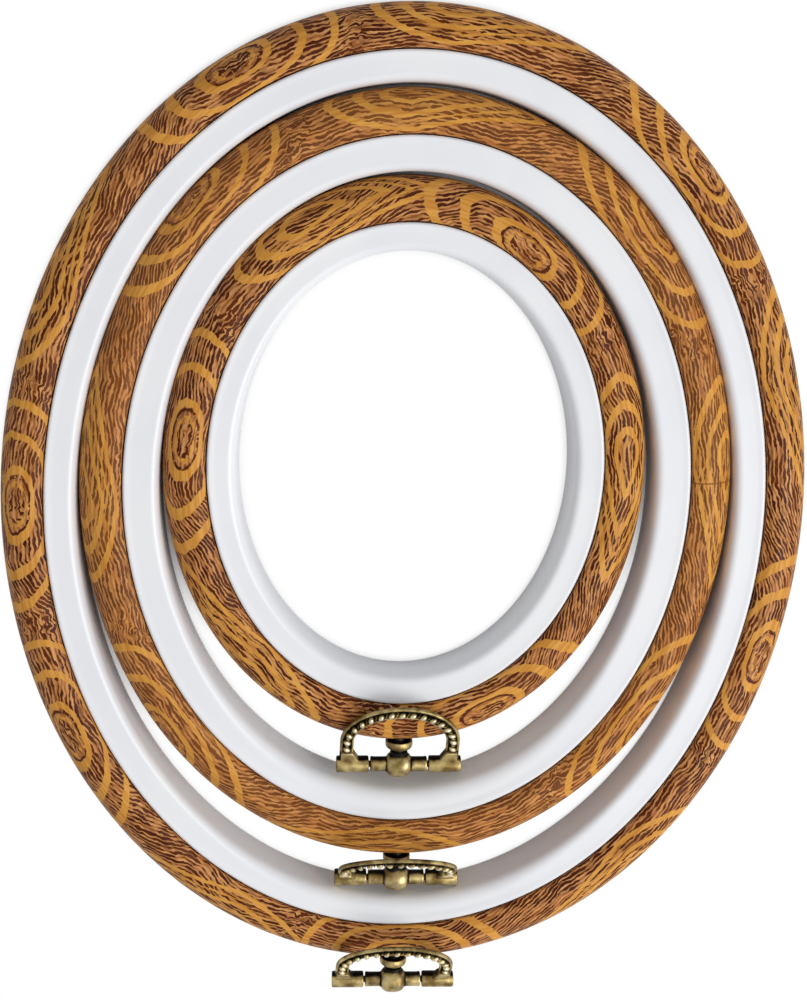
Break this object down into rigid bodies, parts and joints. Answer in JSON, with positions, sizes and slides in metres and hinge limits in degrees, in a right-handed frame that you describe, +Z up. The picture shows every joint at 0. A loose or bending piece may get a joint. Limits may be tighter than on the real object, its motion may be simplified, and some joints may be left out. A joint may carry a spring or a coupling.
{
  "type": "embroidery hoop set",
  "caption": "Nested oval embroidery hoops: domed wood-look vinyl outer ring over a white channel-section inner ring, each with an antique brass hanger and swinging bail.",
  "frame": {"origin": "on the table under the centre of the whole set's box", "axes": "+Z up out of the table, +Y to the heads of the ovals, hangers at -Y"},
  "size_m": [0.1864, 0.237, 0.0223],
  "materials": {
    "woodgrain_vinyl": "satin vinyl with an embossed oak-like grain in golden and dark brown",
    "white_plastic": "smooth moulded white",
    "antique_brass": "antiqued brass plate, dark in the recesses and bright on the edges",
    "stud_steel": "plain turned steel"
  },
  "bodies": {
    "large_inner": {"large_inner_ring": "white_plastic"},
    "large_outer": {"large_outer_ring": "woodgrain_vinyl", "large_stud": "stud_steel", "large_cup_washer": "antique_brass", "large_ball_barrel": "antique_brass"},
    "large_bail": {"large_hinge_pin": "stud_steel", "large_bail": "antique_brass"},
    "middle_inner": {"middle_inner_ring": "white_plastic"},
    "middle_outer": {"middle_outer_ring": "woodgrain_vinyl", "middle_stud": "stud_steel", "middle_cup_washer": "antique_brass", "middle_ball_barrel": "antique_brass"},
    "middle_bail": {"middle_hinge_pin": "stud_steel", "middle_bail": "antique_brass"},
    "small_inner": {"small_inner_ring": "white_plastic"},
    "small_outer": {"small_outer_ring": "woodgrain_vinyl", "small_stud": "stud_steel", "small_cup_washer": "antique_brass", "small_ball_barrel": "antique_brass"},
    "small_bail": {"small_hinge_pin": "stud_steel", "small_bail": "antique_brass"}
  },
  "joints": [
    {"name": "large_outer_lift", "type": "slide", "parent": "large_inner", "child": "large_outer", "axis": [0, 0, 1], "range_m": [0, 0.03]},
    {"name": "large_bail_swing", "type": "hinge", "parent": "large_outer", "child": "large_bail", "pos_m": [0, -0.1153, 0.0059], "axis": [1, 0, 0], "range_deg": [-13, 148]},
    {"name": "middle_hoop_lift", "type": "slide", "parent": "large_inner", "child": "middle_inner", "axis": [0, 0, 1], "range_m": [0, 0.04]},
    {"name": "middle_outer_lift", "type": "slide", "parent": "middle_inner", "child": "middle_outer", "axis": [0, 0, 1], "range_m": [0, 0.03]},
    {"name": "middle_bail_swing", "type": "hinge", "parent": "middle_outer", "child": "middle_bail", "pos_m": [0, -0.0881, 0.0059], "axis": [1, 0, 0], "range_deg": [-26, 70]},
    {"name": "small_hoop_lift", "type": "slide", "parent": "large_inner", "child": "small_inner", "axis": [0, 0, 1], "range_m": [0, 0.04]},
    {"name": "small_outer_lift", "type": "slide", "parent": "small_inner", "child": "small_outer", "axis": [0, 0, 1], "range_m": [0, 0.03]},
    {"name": "small_bail_swing", "type": "hinge", "parent": "small_outer", "child": "small_bail", "pos_m": [-0.00019, -0.0588, 0.0059], "axis": [1, 0.007, 0], "range_deg": [-2, 105]}
  ]
}
